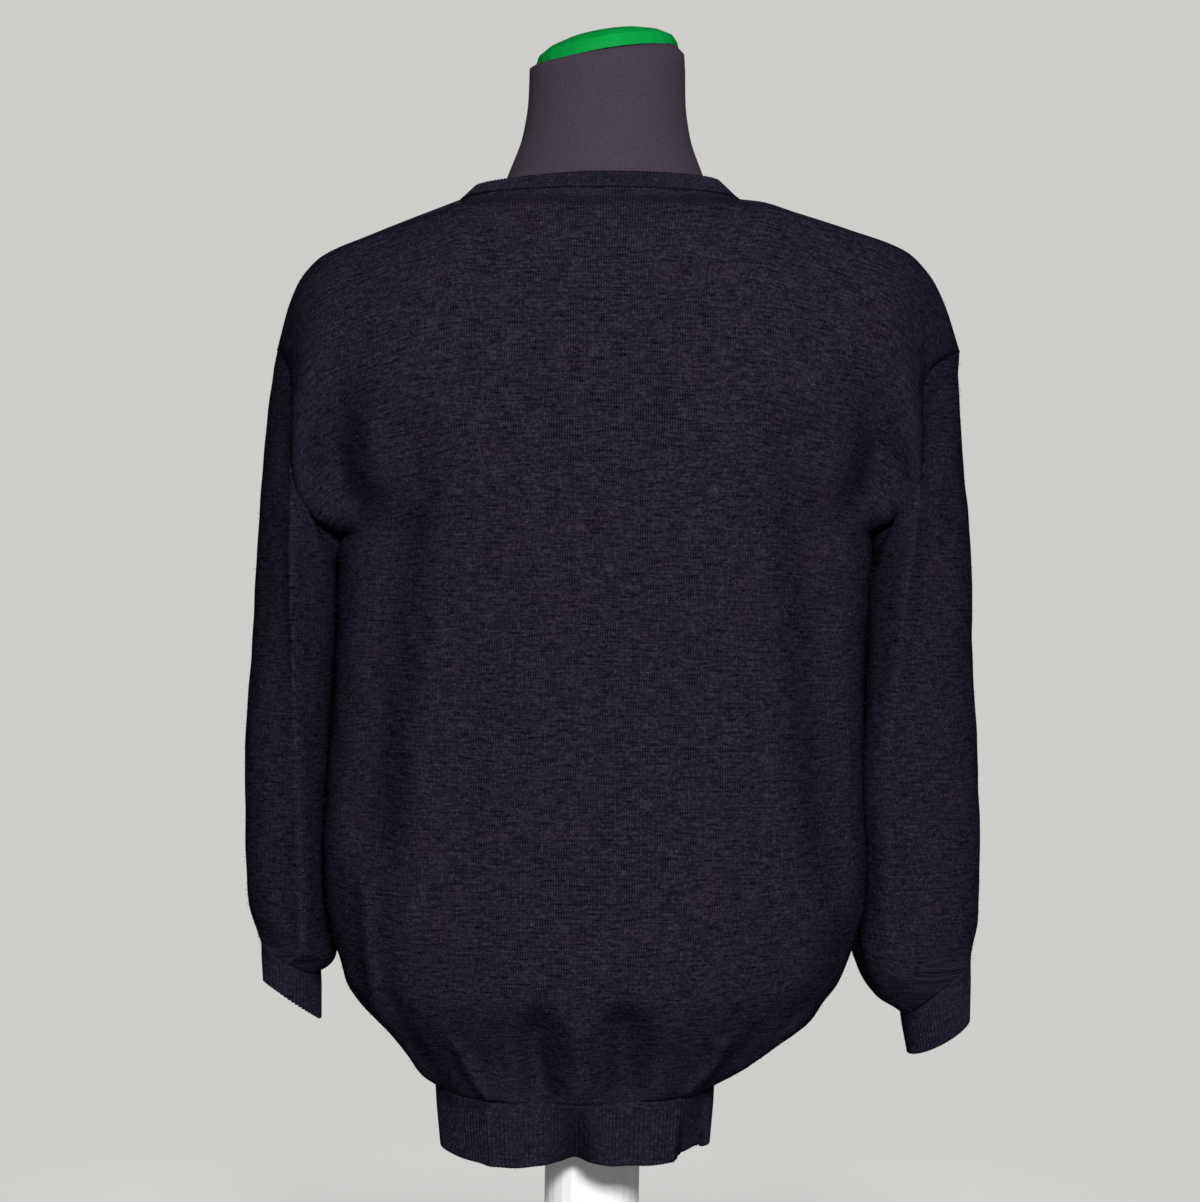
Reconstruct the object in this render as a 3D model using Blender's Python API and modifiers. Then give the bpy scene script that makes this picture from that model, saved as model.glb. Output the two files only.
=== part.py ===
"""A v-neck sweater filled out on a limbless dress form, which stands on a short pole.

Front is -Y, the wearer's left is +X, and the origin is the middle of the base's underside.
The sweater is described in millimetres by short section tables. A half section runs from
the middle of the back or the front out to the side seam, or to the armhole seam above the
underarm. Every wall has its outer points from these sections and its inner points one
cloth thickness further in, so neighbouring pieces can share the direction of their edges.
"""
import math

import bmesh
import bpy
import numpy as np

MM = 0.001

# Driving dimensions, in millimetres
cloth_thickness = 2.0
seam_gap = 0.3
armhole_gap = 0.5
rib_height = 0.9
hem_level = 260.0
hem_edge_level = 217.6
hem_middle = 16.0
hem_narrowing = 0.96
underarm_level = 640.0
shoulder_level = 874.0
neck_half_width = 96.0
shoulder_seam_at_neck = 12.0
back_neck_depth = 75.0
v_point_level = 668.0
neckband_width = 25.0
neckband_back_width = 18.0
neck_rollover = 13.0
v_softness = 24.0
rib_pitch = 4.2
neckband_rib_pitch = 5.4
garment_lean = 0.01396
lean_height = 595.0
pole_radius = 33.0
base_radius = 165.0
base_thickness = 22.0

# How finely the walls are divided
lower_levels = (260, 268, 278, 290, 304, 320, 344, 386, 430, 490, 560, 604, 630)
armhole_levels = (640, 662, 684, 706, 730, 754, 778, 802, 824, 844, 858, 868, 874)
shoulder_columns = 8
neck_places = (0, 0.18, 0.35, 0.5, 0.64, 0.77, 0.87, 0.95, 1)
sleeve_rows = 13

# Each section's depth at the middle, and how square its corner is
body_depth = {
    "columns": ("level", "middle", "back", "front", "square"),
    "rows": (
        (260, 16, 99, -99, 2.1),
        (275, 12, 106, -107, 2.1),
        (290, 7, 113, -114, 2.15),
        (316, 5, 121, -122, 2.2),
        (344, 3.5, 126, -127, 2.25),
        (386, 3, 127, -129, 2.3),
        (430, 3, 125, -129, 2.3),
        (540, 1, 119, -128, 2.35),
        (640, -3, 121, -128, 2.4),
        (700, -5, 121, -130, 2.45),
        (760, -6, 118, -124, 2.4),
        (800, -6, 112, -113, 2.25),
        (838, -6, 101, -90, 1.95),
        (862, -6, 89, -58, 1.6),
        (874, -6, 75, 12, 1.4),
    ),
}

# How far the side seams stand from the middle plane, below the underarm
body_side = {
    "columns": ("level", "left", "right"),
    "rows": (
        (260, 115, 80),
        (270, 127, 101),
        (280, 135, 117),
        (290, 143, 131),
        (303, 156, 147),
        (316, 168, 156),
        (330, 177, 166),
        (344, 181, 172),
        (364, 187.5, 178),
        (386, 192, 183),
        (414, 193.5, 185),
        (456, 191.5, 185),
        (540, 186, 185),
        (604, 180, 186),
        (630, 177, 186),
        (640, 177, 188),
    ),
}

# The armhole seam is a tilted loop that hangs below each shoulder corner
armhole = {
    "left": {"top_x": 225.4, "top_z": 770.7, "mid_x": 209.0, "bottom_x": 177.0, "bottom_z": 640.0,
             "reach": 60.0},
    "right": {"top_x": 251.3, "top_z": 769.3, "mid_x": 219.0, "bottom_x": 188.0, "bottom_z": 642.0,
              "reach": 60.0},
}

# How a section falls from the neck to the armhole seam, as shares of the way out and down
shoulder_fall = {
    "columns": ("out", "left", "right"),
    "rows": (
        (0, 0, 0),
        (0.1, 0.046, 0.014),
        (0.25, 0.115, 0.08),
        (0.5, 0.235, 0.195),
        (0.75, 0.367, 0.33),
        (0.865, 0.51, 0.495),
        (0.93, 0.68, 0.68),
        (1, 1, 1),
    ),
}

# The groove between the body and the sleeve head
groove = {
    "columns": ("level", "depth"),
    "rows": ((640, 0), (662, 8), (684, 34), (706, 56), (735, 58), (765, 34), (800, 8), (830, 0), (874, 0)),
}
first_crease_angle = math.radians(116)
crease_angle = math.radians(126)
groove_inset = 24.0
groove_width = 16.0

# How the hem's free edge waves in and out at the back
hem_wave = {
    "columns": ("x", "depth"),
    "rows": ((-78, 0), (-66, -26), (-55, -22), (-44, 2), (-16, 4), (17, -34), (48, 4), (80, 2), (112, 0)),
}

# The largest folds, each along three points as seen from its own side; height is outward
fold_columns = ("side", "x1", "z1", "x2", "z2", "x3", "z3", "height", "width")
folds = (
    ("back", 94, 695, 121, 517, 131, 380, 4, 24),
    ("back", 128, 697, 141, 582, 151, 500, -5, 26),
    ("back", -110, 569, -131, 464, -144, 350, 4, 22),
    ("back", -141, 674, -146, 580, -148, 497, -5, 26),
    ("back", 150, 408, 145, 328, 117, 277, 5, 14),
    ("back", -80, 312, -70, 280, -56, 262, 6, 13),
    ("back", 40, 318, 40, 300, 41, 284, -9, 19),
    ("back", -13, 318, -13, 300, -13, 284, -9, 19),
    ("front", 60, 690, 105, 560, 128, 420, 4, 26),
    ("front", -52, 690, -96, 540, -122, 400, 4, 26),
    ("front", 120, 680, 140, 600, 150, 500, -5, 26),
    ("front", -126, 670, -142, 590, -148, 480, -5, 26),
    ("front", 62, 330, 60, 305, 56, 284, -8, 19),
    ("front", 4, 322, 2, 300, 0, 284, -9, 19),
    ("front", -52, 326, -49, 302, -46, 284, -8, 19),
    ("front", 118, 350, 108, 310, 88, 268, 5, 14),
    ("front", -120, 360, -104, 312, -76, 268, 5, 14),
)

# Sleeve rings below the armhole loop: outer and inner edge, depth, the creases, and how far
# the inner edge lies forward, where it nestles against the body's side
sleeve_columns = ("outer_z", "inner_z", "outer_x", "inner_x", "back", "front", "ridge_x", "ridge", "forward")
sleeve_rings = {
    "left": (
        (732, 622, 231.5, 185, 57, -58.5, 208, 5, 3),
        (680, 606, 236, 185, 64, -64, 209, 8, 14),
        (620, 590, 240.5, 184.5, 67, -66, 209, 8, 28),
        (560, 545, 243.5, 187, 67, -65, 208, 8, 36),
        (480, 468, 247.5, 192, 63, -61, 206, 7, 38),
        (414, 404, 248, 194.5, 61, -59, 204, 6, 38),
        (384, 368, 245.5, 190, 59, -57, 204, 5, 34),
        (366, 345, 240, 187, 53, -51, 205, 4, 24),
        (357, 335, 236.6, 197.5, 38, -37, 216, 0, 12),
    ),
    "right": (
        (730, 624, 253, 194.5, 57, -58.5, 216, 5, 3),
        (680, 608, 255.5, 190.5, 64, -64, 213, 8, 14),
        (620, 592, 259.5, 189, 67, -66, 208, 8, 28),
        (560, 545, 261, 187, 68, -66, 203, 7, 36),
        (480, 468, 264, 187, 66, -62, 192, 5, 36),
        (414, 400, 265.5, 186.5, 62, -60, 198, 4, 32),
        (376, 352, 265, 181, 59, -56, 198, 3, 26),
        (354, 321, 261, 191.5, 51, -48, 208, 2, 16),
        (345, 306, 259, 212, 38, -37, 233, 0, 12),
    ),
}
cuff_edge = {
    "left": {"outer_z": 329.5, "inner_z": 301.0, "outer_x": 235.0, "inner_x": 197.0, "back": 36, "front": -35,
             "lift": 6, "forward": 14},
    "right": {"outer_z": 303.0, "inner_z": 277.0, "outer_x": 258.0, "inner_x": 217.0, "back": 36, "front": -35,
              "lift": 0, "forward": 14},
}

# The dress form under the sweater, in upright sections
form_columns = ("z", "half_width", "back", "front", "square")
form_sections = (
    (330, 146, 88, -94, 2.3),
    (338, 152, 96, -102, 2.3),
    (400, 151, 99, -104, 2.3),
    (470, 143, 93, -99, 2.2),
    (530, 140, 92, -101, 2.2),
    (600, 146, 99, -112, 2.2),
    (660, 152, 105, -119, 2.3),
    (700, 156, 105, -119, 2.3),
    (740, 166, 102, -111, 2.3),
    (770, 182, 97, -100, 2.2),
    (802.4, 188, 88, -86, 2.06),
    (822.5, 182, 78, -72, 1.84),
    (836.5, 163, 70, -60, 1.58),
    (850.5, 137, 66, -52, 1.5),
    (861.4, 106, 64, -50, 1.6),
    (870.7, 84, 62, -52, 1.72),
    (880, 74, 58, -54, 2.0),
    (897, 66.5, 52, -54, 2.0),
    (920, 58.5, 46, -54, 2.0),
    (945, 55, 43, -53, 2.0),
    (966, 54.5, 42.5, -52, 2.0),
)
form_sides = 28
neck_top_tilt = math.radians(10)
neck_top_level = 974.0
cap_height = 16.0
cap_radius = 50.5


def column(table, name):
    """One named column of a section table."""
    place = table["columns"].index(name)
    return np.array([row[place] for row in table["rows"]], float)


def smooth(table, name, at):
    """A table's column at any level, by a curve that never overshoots its rows."""
    x = column(table, table["columns"][0])
    y = column(table, name)
    at = np.clip(np.asarray(at, float), x[0], x[-1])
    step = np.diff(x)
    rise = np.diff(y) / step
    slope = np.zeros(len(x))
    slope[0] = rise[0]
    slope[-1] = rise[-1]
    same_way = rise[:-1] * rise[1:] > 0
    inner = np.zeros(len(x) - 2)
    inner[same_way] = 2 * rise[:-1][same_way] * rise[1:][same_way] / (rise[:-1] + rise[1:])[same_way]
    slope[1:-1] = inner
    k = np.clip(np.searchsorted(x, at, side="right") - 1, 0, len(x) - 2)
    t = (at - x[k]) / step[k]
    return (y[k] * (1 + 2 * t) * (1 - t) ** 2 + slope[k] * step[k] * t * (1 - t) ** 2
            + y[k + 1] * t * t * (3 - 2 * t) + slope[k + 1] * step[k] * t * t * (t - 1))


def unit(vectors):
    """The same directions at length one."""
    length = np.linalg.norm(vectors, axis=-1, keepdims=True)
    return vectors / np.maximum(length, 1e-9)


def lean(points):
    """The sweater sits a little askew on the upright form."""
    x = points[..., 0]
    z = points[..., 2]
    return np.stack([x + garment_lean * (z - lean_height), points[..., 1], z - garment_lean * x], -1)


def armhole_angle(level):
    """Nought at the top of the armhole loop, pi at the underarm."""
    return math.pi * (shoulder_level - level) / (shoulder_level - underarm_level)


def armhole_point(side, angle):
    """A point of the armhole loop, with x measured outwards; back is between 0 and pi."""
    hole = armhole[side]
    up = math.cos(angle)
    x = hole["mid_x"]
    x += (hole["top_x"] - hole["mid_x"]) * max(up, 0) ** 5
    x += (hole["bottom_x"] - hole["mid_x"]) * max(-up, 0) ** 5
    z = (hole["top_z"] + hole["bottom_z"]) / 2 + (hole["top_z"] - hole["bottom_z"]) / 2 * up
    return np.array([x, hole["reach"] * math.sin(angle), z])


def armhole_out(angle):
    """The way the cloth's outer side faces along the armhole seam."""
    up = math.cos(angle)
    beside_arm = 0.9 * math.exp(-((math.degrees(math.acos(up)) - 122) / 22) ** 2)
    return unit(np.array([max(up, 0) - beside_arm, math.sin(angle), min(up, 0)]))


def section_end(face, side, level):
    """Where a half section ends: on the side seam, or on the armhole loop above it."""
    turn = 1 if face == "back" else -1
    if level <= underarm_level:
        return np.array([float(smooth(body_side, side, level)), turn * seam_gap / 2, level])
    point = armhole_point(side, turn * armhole_angle(level))
    point[1] += turn * seam_gap / 2
    return point


def half_section(face, side, level):
    """A half section's points from the middle to its end, closely spaced, x outwards."""
    sign = 1 if side == "left" else -1
    angle = np.linspace(0, math.pi / 2, 161)
    middle = sign * float(smooth(body_depth, "middle", level))
    depth = float(smooth(body_depth, face, level))
    square = float(smooth(body_depth, "square", level))
    end = section_end(face, side, level)
    x = middle + (end[0] - middle) * np.sin(angle) ** (2 / square)
    y = end[1] + (depth - end[1]) * np.cos(angle) ** (2 / square)

    # the top turns over into the shoulder seam and the back neck
    over = min(max((level - shoulder_level + neck_rollover) / neck_rollover, 0), 1)
    over = over * over * (3 - 2 * over)
    share = np.clip((x - neck_half_width) / (end[0] - neck_half_width), 0, 1)
    top = shoulder_seam_at_neck * (1 - share) + end[1] * share
    if face == "back":
        hug = np.sqrt(np.clip(1 - (x / neck_half_width) ** 2, 0, 1))
        top = top + (back_neck_depth - shoulder_seam_at_neck) * hug
    turn = 1 if face == "back" else -1
    top = np.where(x > neck_half_width, top + turn * seam_gap / 2 * (1 - share), top)
    y = y * (1 - over) + top * over

    # the groove beside the sleeve head
    deep = float(smooth(groove, "depth", level))
    hollow = np.exp(-((x - end[0] + groove_inset) / groove_width) ** 2)
    hollow = hollow - hollow[-1] * (np.clip(x, 0, None) / end[0]) ** 6
    y = y - turn * deep * hollow

    z = level - (level - end[2]) * smooth(shoulder_fall, side, share)
    return np.stack([x, y, z], -1)


def section_row(face, side, level, shares):
    """A half section's points at shares of its length, with x to the wearer's left."""
    line = half_section(face, side, level)
    length = np.concatenate([[0], np.cumsum(np.linalg.norm(np.diff(line, axis=0), axis=1))])
    at = np.asarray(shares) * length[-1]
    row = np.stack([np.interp(at, length, line[:, axis]) for axis in range(3)], -1)
    row[:, 0] *= 1 if side == "left" else -1
    return row


def neck_share(face, side):
    """The share of the top section's length at which the shoulder seam meets the neck."""
    line = half_section(face, side, shoulder_level)
    length = np.concatenate([[0], np.cumsum(np.linalg.norm(np.diff(line, axis=0), axis=1))])
    return float(np.interp(neck_half_width, line[:, 0], length) / length[-1])


def fold_height(face, points):
    """How far the folds push the cloth outwards at each point."""
    height = np.zeros(points.shape[:-1])
    for row in folds:
        fold = dict(zip(fold_columns, row))
        if fold["side"] != face:
            continue
        path = np.array([(fold["x1"], fold["z1"]), (fold["x2"], fold["z2"]), (fold["x3"], fold["z3"])], float)
        flat = points[..., (0, 2)]
        nearest = np.full(points.shape[:-1], 1e9)
        for start, end in zip(path[:-1], path[1:]):
            run = end - start
            t = np.clip(((flat - start) @ run) / (run @ run), 0, 1)
            off = np.linalg.norm(flat - (start + t[..., None] * run), axis=-1)
            nearest = np.minimum(nearest, off)
        height += fold["height"] * np.exp(-(nearest / fold["width"] * 1.3) ** 2)
    return height


def panel_columns(face):
    """The panel's columns from the right edge to the left one: side, share and neck share."""
    found = []
    for side in ("right", "left"):
        neck = neck_share(face, side)
        inner = np.array(neck_places) * neck
        outer = np.linspace(neck, 1, shoulder_columns + 1)[1:]
        shares = [(side, share, share / neck) for share in np.concatenate([inner, outer])]
        found.append(shares)
    right, left = found
    return right[:0:-1] + left


def top_level(face, across):
    """The level where a column ends; across is 0 at the middle and 1 at the neck point."""
    if face == "back" or across >= 1:
        return shoulder_level
    return v_point_level + (shoulder_level - v_point_level) * across ** 0.92


def row_levels():
    """The levels of the panels' rows, from the hem to the shoulder seam."""
    return np.array(lower_levels + armhole_levels, float)


def panel_surface(face):
    """The panel's outer points, one row for each level, one column for each share."""
    levels = row_levels()
    columns = panel_columns(face)
    fine = np.linspace(hem_level, shoulder_level, 150)
    lattice = []
    for level in fine:
        halves = []
        for side in ("right", "left"):
            shares = [share for name, share, _ in columns if name == side]
            halves.append(section_row(face, side, level, shares))
        lattice.append(np.concatenate(halves))
    lattice = np.array(lattice)
    points = np.zeros((len(levels), len(columns), 3))
    low, high = levels[0], levels[-1]
    for k, (side, share, across) in enumerate(columns):
        top = top_level(face, across)
        own = low + (levels - low) * (top - low) / (high - low)
        for axis in range(3):
            points[:, k, axis] = np.interp(own, fine, lattice[:, k, axis])
    turn = 1 if face == "back" else -1
    ends = {0: "right", len(columns) - 1: "left"}
    for k, side in ends.items():
        sign = 1 if side == "left" else -1
        points[:, k] = [section_end(face, side, level) for level in levels]
        points[:, k, 0] *= sign
    away = np.clip((np.minimum(np.arange(len(columns)), np.arange(len(columns))[::-1])) / 3, 0, 1)
    points[..., 1] += turn * fold_height(face, points) * away
    return points, columns, levels, turn


def grid_normals(points, flip, around=False):
    """Outward directions of a grid of points, from its own slopes."""
    down = np.gradient(points, axis=0)
    if around:
        across = (np.roll(points, -1, 1) - np.roll(points, 1, 1)) / 2
    else:
        across = np.gradient(points, axis=1)
    return unit(np.cross(across, down)) * flip


def mesh_object(name, vertices, faces, material, smooth_angle=50):
    """A closed mesh with its own material in the object's collection."""
    mesh = bpy.data.meshes.new(name)
    mesh.from_pydata((np.array(vertices) * MM).tolist(), [], faces)
    work = bmesh.new()
    work.from_mesh(mesh)
    bmesh.ops.recalc_face_normals(work, faces=work.faces)
    if work.calc_volume(signed=True) < 0:
        bmesh.ops.reverse_faces(work, faces=work.faces)
    work.to_mesh(mesh)
    work.free()
    mesh.shade_smooth()
    mesh.set_sharp_from_angle(angle=math.radians(smooth_angle))
    piece = bpy.data.objects.new(name, mesh)
    piece.data.materials.append(material)
    pieces.objects.link(piece)
    return piece


def wall(name, outer, inner, material, around=False, smooth_angle=50):
    """A cloth wall between two grids of points; around joins the last column to the first."""
    rows, columns = outer.shape[:2]
    count = rows * columns
    vertices = np.concatenate([outer.reshape(-1, 3), inner.reshape(-1, 3)])
    faces = []
    spans = columns if around else columns - 1
    mirrored_from = spans / 2 if around else spans
    for j in range(rows - 1):
        for i in range(spans):
            a = j * columns + i
            b = j * columns + (i + 1) % columns
            c, d = b + columns, a + columns
            halves = ((a, b, d), (b, c, d)) if i >= mirrored_from else ((a, b, c), (a, c, d))
            for corner in halves:
                faces.append(corner)
                faces.append([point + count for point in corner[::-1]])
    for j in (0, rows - 1):
        for i in range(spans):
            a = j * columns + i
            b = j * columns + (i + 1) % columns
            faces.append((b, a, a + count, b + count))
    if not around:
        for i in (0, columns - 1):
            for j in range(rows - 1):
                a = j * columns + i
                d = a + columns
                faces.append((a, d, d + count, a + count))
    return mesh_object(name, lean(vertices), faces, material, smooth_angle)


def front_depth(x, level):
    """The front's depth at a place below the shoulders."""
    line = half_section("front", "left" if x >= 0 else "right", level)
    return float(np.interp(abs(x), line[:, 0], line[:, 1]))


def band_edge_beside_neck(here):
    """The neckband's free edge where it leans in towards the neck, at the back and the corners."""
    inwards = -unit(np.array([here[0], here[1] - shoulder_seam_at_neck, 0]))
    return here + unit(inwards + np.array([0, 0, 0.95])) * neckband_back_width


def band_edge_on_front(points, out, k, across):
    """The neckband's free edge above one point of the V, mitred along the middle of the front."""
    here = points[k]
    sign = 1 if here[0] >= 0 else -1
    step = sign if 0 < k < len(points) - 1 else 0
    at_point = abs(here[0]) < 1
    along = unit(points[k + step] - here) if at_point else unit(points[k + 1] - points[k - 1]) * sign
    inwards = unit(np.cross(along, out[k]))
    inwards = inwards * (1 if inwards[2] > 0 else -1)
    above = here + unit(inwards + np.array([0, 0, 0.3])) * neckband_width

    plain = abs(here[0]) - neckband_width * abs(inwards[0])
    x = (plain + math.sqrt(plain * plain + v_softness * abs(here[0]))) / 2
    z = here[2] + neckband_width * inwards[2] + (x - plain) * along[2] / abs(along[0])
    mitred = np.array([x * sign, front_depth(x * sign, z), z])
    share = min(max((across - 0.45) / 0.25, 0), 1)
    corner = min(max((across - 0.6) / 0.4, 0), 1)
    corner = corner * corner * (3 - 2 * corner)
    return (mitred * (1 - share) + above * share) * (1 - corner) + band_edge_beside_neck(here) * corner


def neckband_edge(face, points, outward, k, across):
    """The neckband's free edge above one point of the neckline."""
    if face == "back":
        return band_edge_beside_neck(points[-1, k])
    return band_edge_on_front(points[-1], outward[-1], k, across)


def body_panel(face, material):
    """The back or the front, and what its neighbours are made to: hem and neckline."""
    points, columns, levels, turn = panel_surface(face)
    outward = grid_normals(points, -turn)
    hem_along = np.gradient(points[0], axis=0)
    outward[0] = unit(np.cross(hem_along, [0, 0, -1]) * turn)
    top_along = np.gradient(points[-1], axis=0)
    for k, (side, share, across) in enumerate(columns):
        if abs(across - 1) < 0.001:
            beyond = 1 if side == "left" else -1
            top_along[k] = (points[-1, k + beyond] - points[-1, k]) * beyond
        if across >= 0.999:
            outward[-1, k] = unit(np.array([-top_along[k, 2], 0, top_along[k, 0]]))
    for k, side in ((0, "right"), (len(columns) - 1, "left")):
        sign = 1 if side == "left" else -1
        for j, level in enumerate(levels):
            if level < underarm_level:
                outward[j, k] = (sign, 0, 0)
            else:
                outward[j, k] = armhole_out(turn * armhole_angle(level)) * (sign, 1, 1)

    # along the neckline the wall's edge halves the angle between the panel and the band
    neckline = []
    for k, (_, _, across) in enumerate(columns):
        if across > 1.001:
            continue
        here = points[-1, k]
        edge = neckband_edge(face, points, outward, k, across)
        way = unit(edge - here)
        away = outward[-1, k] + 0.9 * unit(np.array([here[0], here[1] + 7, 0]))
        band_out = unit(away - way * np.dot(away, way))
        neckline.append({"seam": here, "edge": edge, "edge_out": band_out, "across": across, "column": k,
                         "seam_out": unit(outward[-1, k] + band_out)})
    for place in neckline:
        outward[-1, place["column"]] = place["seam_out"]
    wall(face + "_panel", points, points - outward * cloth_thickness, material)
    return points, outward, neckline


def turned_angles(angles, crease):
    """The armhole's angles as a ring's own, where the seam's crease angle comes to the back."""
    corners = np.array([0, crease, math.pi, 2 * math.pi - crease, 2 * math.pi])
    return np.interp(angles, corners, math.pi / 2 * np.arange(5))


def sleeve_ring(row, angles):
    """A sleeve ring; angle 0 is its outer edge, pi its inner edge."""
    ring = dict(zip(sleeve_columns, row))
    up = np.cos(angles)
    aside = np.sin(angles)
    middle = (ring["outer_x"] + ring["inner_x"]) / 2
    x = middle + (ring["outer_x"] - ring["inner_x"]) / 2 * up + (ring["ridge_x"] - middle) * np.abs(aside) ** 3
    y = np.where(aside > 0, ring["back"] * aside, -ring["front"] * aside)
    y = y + ring["ridge"] * np.exp(-(up / 0.35) ** 2) * np.sign(aside) - ring["forward"] * (1 - up) / 2
    z = (ring["outer_z"] + ring["inner_z"]) / 2 + (ring["outer_z"] - ring["inner_z"]) / 2 * up
    return np.stack([x, y, z], -1)


def spread_rings(rings, count):
    """Rings on a smooth curve through the given ones, point by point."""
    rings = np.array(rings)
    last = len(rings) - 1
    at = np.linspace(0, last, count)
    k = np.clip(at.astype(int), 0, last - 1)
    t = (at - k)[:, None, None]
    slope = np.gradient(rings, axis=0)
    return (rings[k] * (1 + 2 * t) * (1 - t) ** 2 + slope[k] * t * (1 - t) ** 2
            + rings[k + 1] * t * t * (3 - 2 * t) + slope[k + 1] * t * t * (t - 1))


def sleeve(side, material):
    """A sleeve from its armhole loop to the cuff seam, and its last ring for the cuff."""
    sign = 1 if side == "left" else -1
    behind = [armhole_angle(level) for level in armhole_levels[::-1]]
    angles = np.array(behind + [2 * math.pi - angle for angle in behind[-2:0:-1]])
    loop = np.array([armhole_point(side, angle) for angle in angles])
    along = unit(np.roll(loop, -1, 0) - np.roll(loop, 1, 0))
    out = np.array([armhole_out(angle) for angle in angles])
    loop = loop + unit(np.cross(along, out)) * armhole_gap
    creases = [first_crease_angle] + [crease_angle] * (len(sleeve_rings[side]) - 1)
    rings = [loop] + [sleeve_ring(row, turned_angles(angles, crease))
                      for row, crease in zip(sleeve_rings[side], creases)]
    points = spread_rings(rings, sleeve_rows)
    outward = grid_normals(points, 1, around=True)
    middle = points.mean(axis=1, keepdims=True)
    if np.sum((points - middle) * outward) < 0:
        outward = -outward
    outward[0] = out
    hem_along = np.roll(points[-1], -1, 0) - np.roll(points[-1], 1, 0)
    level_out = unit(np.cross(hem_along, [0, 0, 1]))
    if np.sum((points[-1] - middle[-1]) * level_out) < 0:
        level_out = -level_out
    outward[-1] = level_out
    inner = points - outward * cloth_thickness
    mirror = np.array([sign, 1, 1])
    wall("sleeve_" + side, points * mirror, inner * mirror, material, around=True)
    return points[-1] * mirror, level_out * mirror, angles


def ribbed_band(name, seam, seam_out, edge, edge_out, pitch, material, closed):
    """A band between its seam and its free edge, with ribs raised in its outer points only."""
    count = len(seam)
    outer_seam, outer_edge, inner_seam, inner_edge = [], [], [], []
    lines = ((seam, seam_out, 0.4, outer_seam, inner_seam), (edge, edge_out, 1, outer_edge, inner_edge))
    for k in range(count if closed else count - 1):
        after = (k + 1) % count
        width = min(np.linalg.norm(seam[after] - seam[k]), np.linalg.norm(edge[after] - edge[k]))
        steps = max(1, 2 * int(round(width / pitch)))
        for step in range(steps):
            share = step / steps
            raised = rib_height if step % 2 else 0
            for line, out, rise, outer, inner in lines:
                place = line[k] * (1 - share) + line[after] * share
                facing = unit(out[k] * (1 - share) + out[after] * share)
                outer.append(place + facing * raised * rise)
                inner.append(place - facing * cloth_thickness)
    if not closed:
        for line, out, _, outer, inner in lines:
            outer.append(line[-1])
            inner.append(line[-1] - out[-1] * cloth_thickness)
    outer = np.array([outer_seam, outer_edge])
    inner = np.array([inner_seam, inner_edge])
    return wall(name, outer, inner, material, around=closed, smooth_angle=30)


def hem_rib(face, points, outward, material):
    """The ribbed hem below a panel, from side seam to side seam."""
    seam = points[0].copy()
    seam[:, 2] -= seam_gap
    edge = seam.copy()
    edge[:, 2] = hem_edge_level
    edge[:, 0] = hem_middle + (edge[:, 0] - hem_middle) * hem_narrowing
    if face == "back":
        edge[:, 1] += smooth(hem_wave, "depth", edge[:, 0]) * np.clip(edge[:, 1] / 45, 0, 1)
    out = outward[0]
    ribbed_band("hem_rib_" + face, seam, out, edge, out, rib_pitch, material, closed=False)


def cuff(side, seam, out, angles, material):
    """The ribbed cuff below a sleeve."""
    sign = 1 if side == "left" else -1
    end = cuff_edge[side]
    angles = turned_angles(angles, crease_angle)
    up = np.cos(angles)
    aside = np.sin(angles)
    x = (end["outer_x"] + end["inner_x"]) / 2 + (end["outer_x"] - end["inner_x"]) / 2 * up
    y = np.where(aside > 0, end["back"] * aside, -end["front"] * aside) - end["forward"] * (1 - up) / 2
    z = (end["outer_z"] + end["inner_z"]) / 2 + (end["outer_z"] - end["inner_z"]) / 2 * up
    z = z + end["lift"] * np.abs(aside)
    edge = np.stack([x * sign, y, z], -1)
    top = seam - np.array([0, 0, seam_gap])
    ribbed_band("cuff_" + side, top, out, edge, out, rib_pitch, material, closed=True)


def neckband(back, front, material):
    """One ribbed band round the back neck and down both sides of the V."""
    stations = back[2] + front[2][-2:0:-1]
    parts = []
    for name in ("seam", "edge", "seam_out", "edge_out"):
        part = np.array([place[name] for place in stations])
        halfway = (part + np.roll(part, -1, 0)) / 2
        parts.append(np.stack([part, halfway], 1).reshape(-1, 3))
    seam, edge, seam_out, edge_out = parts
    start = seam + unit(edge - seam) * seam_gap * 1.3
    ribbed_band("neckband", start, seam_out, edge, edge_out, neckband_rib_pitch, material, closed=True)


def dress_form(material):
    """The limbless form with its neck, one smooth closed body."""
    angles = np.linspace(0, 2 * math.pi, form_sides, endpoint=False)
    up, aside = np.cos(angles), np.sin(angles)
    rings = []
    for row in form_sections:
        part = dict(zip(form_columns, row))
        power = 2 / part["square"]
        x = part["half_width"] * np.sign(up) * np.abs(up) ** power
        depth = np.where(aside > 0, part["back"], -part["front"])
        y = depth * np.sign(aside) * np.abs(aside) ** power
        rings.append(np.stack([x, y, np.full(form_sides, part["z"], float)], -1))
    top = rings[-1] * (0.96, 0.96, 0) + (0, 0, neck_top_level)
    top[:, 2] -= top[:, 0] * math.tan(neck_top_tilt)
    rings.append(top)
    vertices = np.concatenate(rings)
    faces = []
    for j in range(len(rings) - 1):
        for i in range(form_sides):
            k = (i + 1) % form_sides
            a, b = j * form_sides + i, j * form_sides + k
            faces.append((a, b, b + form_sides, a + form_sides))
    faces.append(tuple(range(form_sides))[::-1])
    faces.append(tuple(range(len(vertices) - form_sides, len(vertices))))
    mesh_object("form_torso", vertices, faces, material)


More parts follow.
